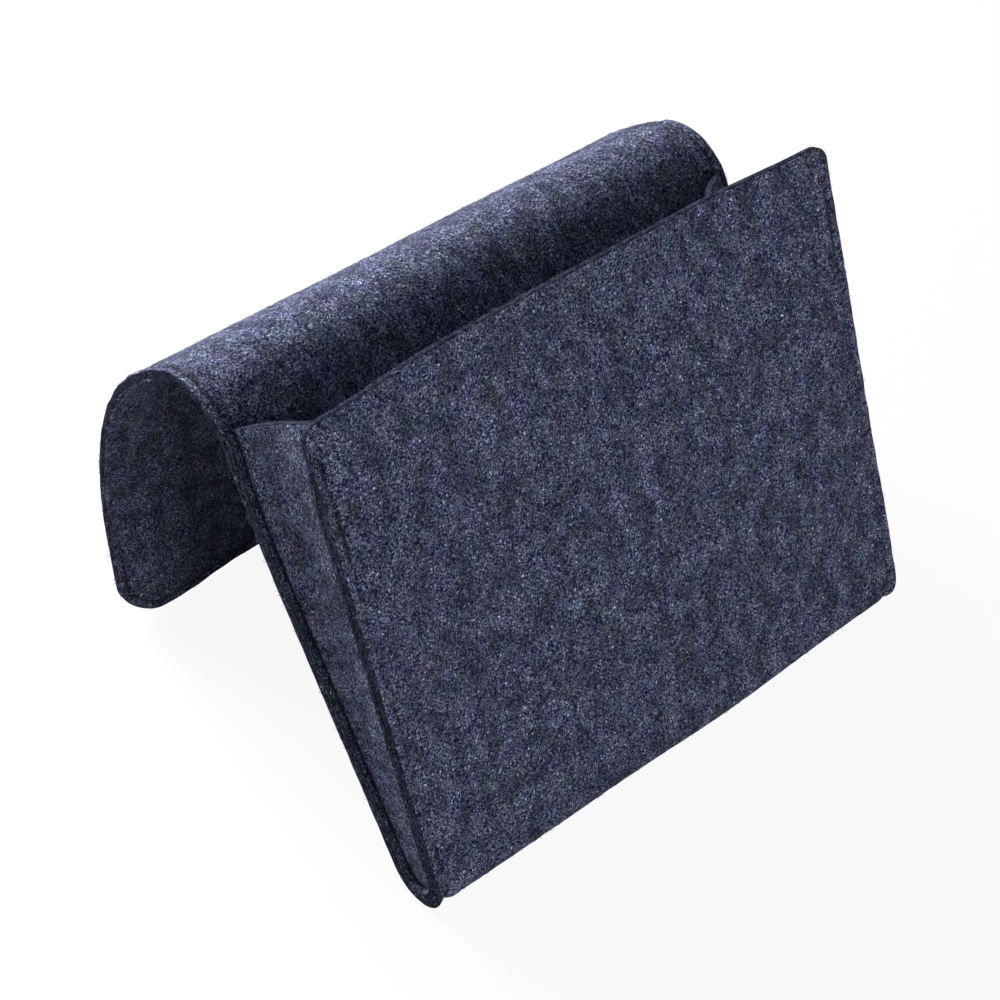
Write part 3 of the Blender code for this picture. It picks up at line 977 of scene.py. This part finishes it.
def loose_fibres(name, start, end, seed, fuzz, material):
    """Short curved fibres that stand a little off the felt, over its faces and round its edges.

    A fibre starts at a random flat place and heads in a random direction. It bends sideways by
    a sine and rises by the square root of its length's share, to its own height.
    """
    random = np.random.default_rng(seed)
    count = fuzz.fibres_per_piece
    x = random.uniform(-WIDTH / 2, WIDTH / 2, count)
    along = random.uniform(start, end, count)
    at_rim = random.random(count) < RIM_SHARE
    from_seam = random.uniform(*RIM_SPREAD_SHARES, count) * SEAM_MARGIN
    rim_x, rim_along = seam_place(along, from_seam, np.sign(x))
    x = np.where(at_rim, rim_x, x)
    along = np.where(at_rim, rim_along, along)
    on_cloth = (edge_distance(x, along) > 0) & (along <= end)
    on_cloth &= WIDTH / 2 - np.abs(x) > round_inset(along, MOUTH_CORNER_RADIUS)
    x, along = x[on_cloth][:, None, None], along[on_cloth][:, None, None]
    shape = x.shape
    turn = random.uniform(0, 2 * math.pi, shape)
    face = np.where(random.random(shape) < 0.5, -1.0, 1.0)
    length = fuzz.fibre_length * random.uniform(*LENGTH_SHARES, shape)
    bend = length * random.uniform(*BEND_SHARES, shape)
    rise = fuzz.fibre_rise * random.uniform(*RISE_SHARES, shape) ** 2
    radius = fuzz.fibre_thickness / 2 * random.uniform(*THICKNESS_SHARES, shape)

    step = np.linspace(0, 1, FIBRE_STEPS)[None, :, None]
    angles = np.linspace(0, 2 * math.pi, FIBRE_SIDES, endpoint=False)[None, None, :]
    ahead = length * (step - 0.5)
    sideways = bend * np.sin(math.pi * step)
    slim = radius * (1 - TIP_TAPER * step)
    middle_x = x + ahead * np.cos(turn) - sideways * np.sin(turn)
    middle_along = along + ahead * np.sin(turn) + sideways * np.cos(turn)
    beside = slim * np.cos(angles)
    stand = FELT / 2 + rise * np.sqrt(step) + slim * np.sin(angles)
    height = lift(middle_x, middle_along) + face * stand
    points = as_cut(middle_x - beside * np.sin(turn), middle_along + beside * np.cos(turn), height)
    return small_tubes(name, points, material)


def bend_with_front(piece):
    """Bakes the piece's transform into its mesh; the pocket's hinge point is found but not used."""
    hinge = np.array(point_on_sheet(MARKS["front"]))
    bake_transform(piece)


def bend_with_arch(piece):
    """Bakes the piece's transform into its mesh; two points at the near bend are found but not used."""
    near = point_on_sheet(GUSSET_TOP)
    far = point_on_sheet(MARKS["near_bend"])
    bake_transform(piece)


def bend_with_flap(piece):
    """Bakes the piece's transform into its mesh; the points at the far bend's ends are found but not used.
    """
    point_on_sheet(ARCH_END)
    point_on_sheet(FLAP_START)
    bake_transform(piece)


class CaddyFelt(bpy.types.PropertyGroup):
    """Colours and finish of the felt"""

    ground: bpy.props.FloatVectorProperty(
        name="Ground", description="Main colour of the felt", subtype="COLOR", size=3,
        default=(0.0040, 0.0080, 0.0715), min=0, max=1,
    )
    light_fibre: bpy.props.FloatVectorProperty(
        name="Light fibre", description="Colour of the light fibres", subtype="COLOR", size=3,
        default=(0.670, 0.745, 1.000), min=0, max=1,
    )
    dark_fibre: bpy.props.FloatVectorProperty(
        name="Dark fibre", description="Colour of the pits between the fibres", subtype="COLOR", size=3,
        default=(0.0002, 0.0008, 0.0060), min=0, max=1,
    )
    cut_edge: bpy.props.FloatVectorProperty(
        name="Cut edge", description="Main colour of the cut edges", subtype="COLOR", size=3,
        default=(0.008, 0.010, 0.019), min=0, max=1,
    )
    thread: bpy.props.FloatVectorProperty(
        name="Thread", description="Colour of the sewing thread", subtype="COLOR", size=3,
        default=(0.006, 0.008, 0.018), min=0, max=1,
    )
    fibre_size: bpy.props.FloatProperty(
        name="Fibre size", description="Size of the felt's pattern, where 1 is as in the photograph",
        default=1.0, min=0.3, max=4,
    )
    hue_drift: bpy.props.FloatProperty(
        name="Hue drift", description="How far the hue drifts from place to place", default=0.36,
        min=0, max=1, subtype="FACTOR",
    )
    # Painted shade in the sewn grooves
    painted_groove_shade: bpy.props.FloatProperty(
        name="Painted groove shade", description="Painted shade in the sewn grooves", default=0.90,
        min=0, max=1, subtype="FACTOR",
    )
    sheen: bpy.props.FloatProperty(
        name="Sheen", description="Strength of the fibres' soft sheen", default=0.02, min=0, max=1,
        subtype="FACTOR",
    )


class CaddySewing(bpy.types.PropertyGroup):
    """Sizes of the sewing"""

    stitch_length: bpy.props.FloatProperty(
        name="Stitch length", description="Distance between needle holes", default=0.0036,
        min=0.002, max=0.008, unit="LENGTH", precision=4,
    )
    stitch_fill: bpy.props.FloatProperty(
        name="Stitch fill", description="Share of the stitch length that the thread covers", default=0.86,
        min=0.3, max=1, subtype="FACTOR",
    )
    thread_thickness: bpy.props.FloatProperty(
        name="Thread thickness", description="Diameter of the thread", default=0.00045,
        min=0.0001, max=0.001, unit="LENGTH", precision=5,
    )
    groove_depth: bpy.props.FloatProperty(
        name="Groove depth", description="How far the sewing presses each face in", default=0.0012,
        min=0.0, max=0.0015, unit="LENGTH", precision=5,
    )
    groove_width: bpy.props.FloatProperty(
        name="Groove width", description="Half the width of the pressed line", default=0.0010,
        min=0.0003, max=0.003, unit="LENGTH", precision=5,
    )
    hole_depth_share: bpy.props.FloatProperty(
        name="Hole depth", description="Share by which a needle hole is deeper", default=0.12,
        min=0, max=0.6, subtype="FACTOR",
    )
    start_depth_share: bpy.props.FloatProperty(
        name="Start depth", description="Share by which the groove is deeper where the seam starts",
        default=0.4, min=0, max=0.6, subtype="FACTOR",
    )


class CaddyFuzz(bpy.types.PropertyGroup):
    """Sizes of the loose fibres"""

    fibre_length: bpy.props.FloatProperty(
        name="Fibre length", description="Mean length of a loose fibre", default=0.0026,
        min=0.001, max=0.008, unit="LENGTH", precision=4,
    )
    fibre_thickness: bpy.props.FloatProperty(
        name="Fibre thickness", description="Diameter of a loose fibre at its root", default=0.00024,
        min=0.00005, max=0.0004, unit="LENGTH", precision=5,
    )
    fibre_rise: bpy.props.FloatProperty(
        name="Fibre rise", description="How far the tallest fibres stand off the felt", default=0.0008,
        min=0.0, max=0.003, unit="LENGTH", precision=5,
    )
    fibres_per_piece: bpy.props.IntProperty(
        name="Fibres", description="Loose fibres on each stretch of the sheet", default=7000,
        min=0, max=7000,
    )


class CaddyStudio(bpy.types.PropertyGroup):
    """Lamps and floor"""

    key_power: bpy.props.FloatProperty(
        name="Key power", description="Power of the large front lamp", default=40.0, min=0, unit="POWER",
    )
    side_power: bpy.props.FloatProperty(
        name="Side power", description="Power of the lamp on the left", default=8.0, min=0, unit="POWER",
    )
    back_power: bpy.props.FloatProperty(
        name="Back power", description="Power of the lamp behind", default=200.0, min=0, unit="POWER",
    )
    ambient: bpy.props.FloatProperty(
        name="Ambient", description="Strength of the even light from all round", default=0.37, min=0,
    )
    floor_colour: bpy.props.FloatVectorProperty(
        name="Floor", description="Colour of the floor", subtype="COLOR", size=3,
        default=(0.40, 0.40, 0.40), min=0, max=1,
    )
    floor_whiteness: bpy.props.FloatProperty(
        name="Floor whiteness", description="Share of plain white that the camera sees in the floor",
        default=0.92, min=0, max=1, subtype="FACTOR",
    )


class CADDY_OT_long_sheet(bpy.types.Operator):
    """Makes the long felt sheet in three stretches, each across one joint"""

    bl_idname = "caddy.long_sheet"
    bl_label = "Long felt sheet"

    def execute(self, context):
        sewing = context.scene.caddy_sewing
        materials = felt_materials()
        pocket = sheet_piece("pocket_sheet", 0.0, BACK_JOIN, sewing, materials)
        upper = sheet_piece("arch_sheet", BACK_JOIN, ARCH_JOIN, sewing, materials)
        flap = sheet_piece("flap_sheet", ARCH_JOIN, END, sewing, materials)
        bend_with_front(pocket)
        bend_with_arch(upper)
        bend_with_flap(flap)
        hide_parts("front_panel", "front_hinge", "bottom_fold")
        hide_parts("back_panel", "near_bend")
        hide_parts("arch_top", "far_bend", "flap")
        return {"FINISHED"}


class CADDY_OT_gussets(bpy.types.Operator):
    """Makes the two V-folded gussets"""

    bl_idname = "caddy.gussets"
    bl_label = "Gussets"

    def execute(self, context):
        materials = felt_materials()
        for name, side in (("left_gusset_felt", -1), ("right_gusset_felt", 1)):
            piece, top_width, mean_width = gusset_piece(name, side, context.scene.caddy_sewing, materials)
            bend_with_front(piece)
            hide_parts(name.replace("_felt", ""))
        return {"FINISHED"}


class CADDY_OT_sewing(bpy.types.Operator):
    """Sews the seams: rows of stitches in the grooves"""

    bl_idname = "caddy.sewing"
    bl_label = "Sewing"

    def execute(self, context):
        sewing = context.scene.caddy_sewing
        material = caddy_material("sewing thread")
        pitch = sewing.stitch_length
        corner = (FLAP_CORNER_RADIUS - SEAM_MARGIN) * math.pi / 2
        last = END - FLAP_CORNER_RADIUS + corner + WIDTH / 2 - FLAP_CORNER_RADIUS

        def rows(start, end, faces):
            """Rows of stitches on both sides: stitch middles lie half a stitch from each hole."""
            first = math.ceil(start / pitch - 0.5)
            runs = (np.arange(first, math.floor(end / pitch - 0.5) + 1) + 0.5) * pitch
            return [(side, face, middle, runs) for side in (-1, 1) for face, middle in faces]

        outer = (-1, 0.0)
        upper = (1, 0.0)
        flange = (1, FELT + SEAM_GAP)
        for name, stretches, bend, slot in (
            (
                "pocket_stitches",
                rows(FRONT_SEAM_TOP, BACK_JOIN, [outer]) + rows(FRONT_SEAM_TOP, GUSSET_TOP, [flange]),
                bend_with_front, "front_panel",
            ),
            (
                "arch_stitches",
                rows(BACK_JOIN, ARCH_JOIN, [outer]) + rows(GUSSET_TOP, ARCH_JOIN, [upper]),
                bend_with_arch, "near_bend",
            ),
            ("flap_stitches", rows(ARCH_JOIN, last, [outer, upper]), bend_with_flap, "flap"),
        ):
            piece = thread_tubes(name, stretches, sewing, material)
            bend(piece)
        return {"FINISHED"}


class CADDY_OT_fuzz(bpy.types.Operator):
    """Scatters the loose fibres of the felt"""

    bl_idname = "caddy.fuzz"
    bl_label = "Loose fibres"

    def execute(self, context):
        fuzz = context.scene.caddy_fuzz
        material = caddy_material("loose fibres")
        for name, start, end, seed, bend, slot in (
            ("pocket_fibres", 0.0, BACK_JOIN, 31, bend_with_front, "front_panel"),
            ("arch_fibres", BACK_JOIN, ARCH_JOIN, 32, bend_with_arch, "near_bend"),
            ("flap_fibres", ARCH_JOIN, END, 33, bend_with_flap, "flap"),
        ):
            piece = loose_fibres(name, start, end, seed, fuzz, material)
            bend(piece)
        return {"FINISHED"}


def area_lamp(name, place, target, size, power):
    """A large square lamp that looks at a target."""
    data = bpy.data.lights.new(name, "AREA")
    data.size = size
    data.energy = power
    lamp = bpy.data.objects.new(name, data)
    lamp.location = place
    lamp.rotation_euler = (Vector(target) - Vector(place)).to_track_quat("-Z", "Y").to_euler()
    lamp.visible_camera = False
    bpy.context.collection.objects.link(lamp)


class CADDY_OT_studio(bpy.types.Operator):
    """Sets up the pale floor, the soft lamps and the photograph's camera"""

    bl_idname = "caddy.studio"
    bl_label = "Studio"

    def execute(self, context):
        studio = context.scene.caddy_studio
        mesh = bpy.data.meshes.new("floor")
        corners = ((-1, -1), (1, -1), (1, 1), (-1, 1))
        places = [(x * FLOOR_HALF, y * FLOOR_HALF, -FLOOR_DEPTH) for x, y in corners]
        mesh.from_pydata(places, [], [(0, 1, 2, 3)])
        floor = bpy.data.objects.new("floor", mesh)
        bpy.context.collection.objects.link(floor)
        mesh.materials.append(self.floor_material(studio))
        area_lamp("key lamp", KEY_PLACE, AIM, KEY_SIZE, studio.key_power)
        area_lamp("side lamp", SIDE_PLACE, AIM, SIDE_SIZE, studio.side_power)
        area_lamp("back lamp", BACK_PLACE, AIM, BACK_SIZE, studio.back_power)
        self.make_world(studio)
        camera = bpy.data.cameras.new("photograph")
        camera.lens = CAMERA_LENS_MM
        camera.sensor_width = SENSOR_MM
        holder = bpy.data.objects.new("photograph", camera)
        holder.location = CAMERA_PLACE
        holder.rotation_euler = Euler([math.radians(turn) for turn in CAMERA_TURN_DEG])
        bpy.context.collection.objects.link(holder)
        context.scene.camera = holder
        context.scene.view_settings.view_transform = "Standard"
        return {"FINISHED"}

    def floor_material(self, studio):
        """Matt floor, with plain white mixed in where the camera looks straight at it."""
        material = bpy.data.materials.new("pale floor")
        material.use_nodes = True
        tree = material.node_tree
        shader = tree.nodes["Principled BSDF"]
        shader.inputs["Base Color"].default_value = (*studio.floor_colour, 1.0)
        shader.inputs["Roughness"].default_value = 0.9
        shader.inputs["Specular IOR Level"].default_value = 0.1
        white = add_node(tree, "ShaderNodeEmission", "plain white", Strength=1.0)
        ray = tree.nodes.new("ShaderNodeLightPath")
        seen = maths(tree, "MULTIPLY", ray.outputs["Is Camera Ray"], studio.floor_whiteness)
        mix = tree.nodes.new("ShaderNodeMixShader")
        tree.links.new(seen, mix.inputs[0])
        tree.links.new(shader.outputs[0], mix.inputs[1])
        tree.links.new(white.outputs[0], mix.inputs[2])
        tree.links.new(mix.outputs[0], tree.nodes["Material Output"].inputs["Surface"])
        return material

    def make_world(self, studio):
        """Even ambient light, and plain white for what looks straight or by gloss at it."""
        world = bpy.data.worlds.new("studio")
        bpy.context.scene.world = world
        world.use_nodes = True
        tree = world.node_tree
        ray = tree.nodes.new("ShaderNodeLightPath")
        seen = maths(tree, "MAXIMUM", ray.outputs["Is Camera Ray"], ray.outputs["Is Glossy Ray"])
        seen = maths(tree, "MAXIMUM", seen, ray.outputs["Is Transmission Ray"])
        background = tree.nodes["Background"]
        background.inputs["Color"].default_value = (1, 1, 1, 1)
        strength = tree.nodes.new("ShaderNodeMapRange")
        tree.links.new(seen, strength.inputs["Value"])
        strength.inputs["To Min"].default_value = studio.ambient
        strength.inputs["To Max"].default_value = 1.0
        tree.links.new(strength.outputs["Result"], background.inputs["Strength"])


OPERATORS = (CADDY_OT_long_sheet, CADDY_OT_gussets, CADDY_OT_sewing, CADDY_OT_fuzz, CADDY_OT_studio)
SETTINGS = {
    "caddy_felt": CaddyFelt,
    "caddy_sewing": CaddySewing,
    "caddy_fuzz": CaddyFuzz,
    "caddy_studio": CaddyStudio,
}


class CADDY_PT_panel(bpy.types.Panel):
    """Buttons and settings of the caddy"""

    bl_idname = "CADDY_PT_panel"
    bl_label = "Felt caddy"
    bl_space_type = "VIEW_3D"
    bl_region_type = "UI"
    bl_category = "Caddy"

    def draw(self, context):
        for name in SETTINGS:
            group = getattr(context.scene, name)
            box = self.layout.box()
            for key in group.__annotations__:
                box.prop(group, key)
        for operator in OPERATORS:
            self.layout.operator(operator.bl_idname)


def register():
    """Makes the settings, the operators and the panel known."""
    for name, group in SETTINGS.items():
        bpy.utils.register_class(group)
        setattr(bpy.types.Scene, name, bpy.props.PointerProperty(type=group))
    for operator in OPERATORS:
        bpy.utils.register_class(operator)
    bpy.utils.register_class(CADDY_PT_panel)


def unregister():
    """Takes the panel, the operators and the settings away again."""
    bpy.utils.unregister_class(CADDY_PT_panel)
    for operator in reversed(OPERATORS):
        bpy.utils.unregister_class(operator)
    for name, group in SETTINGS.items():
        delattr(bpy.types.Scene, name)
        bpy.utils.unregister_class(group)


def main():
    """Makes the studio and the caddy."""
    register()
    bpy.ops.caddy.studio()
    bpy.ops.caddy.long_sheet()
    bpy.ops.caddy.gussets()
    bpy.ops.caddy.sewing()
    bpy.ops.caddy.fuzz()


if __name__ == "__main__":
    main()
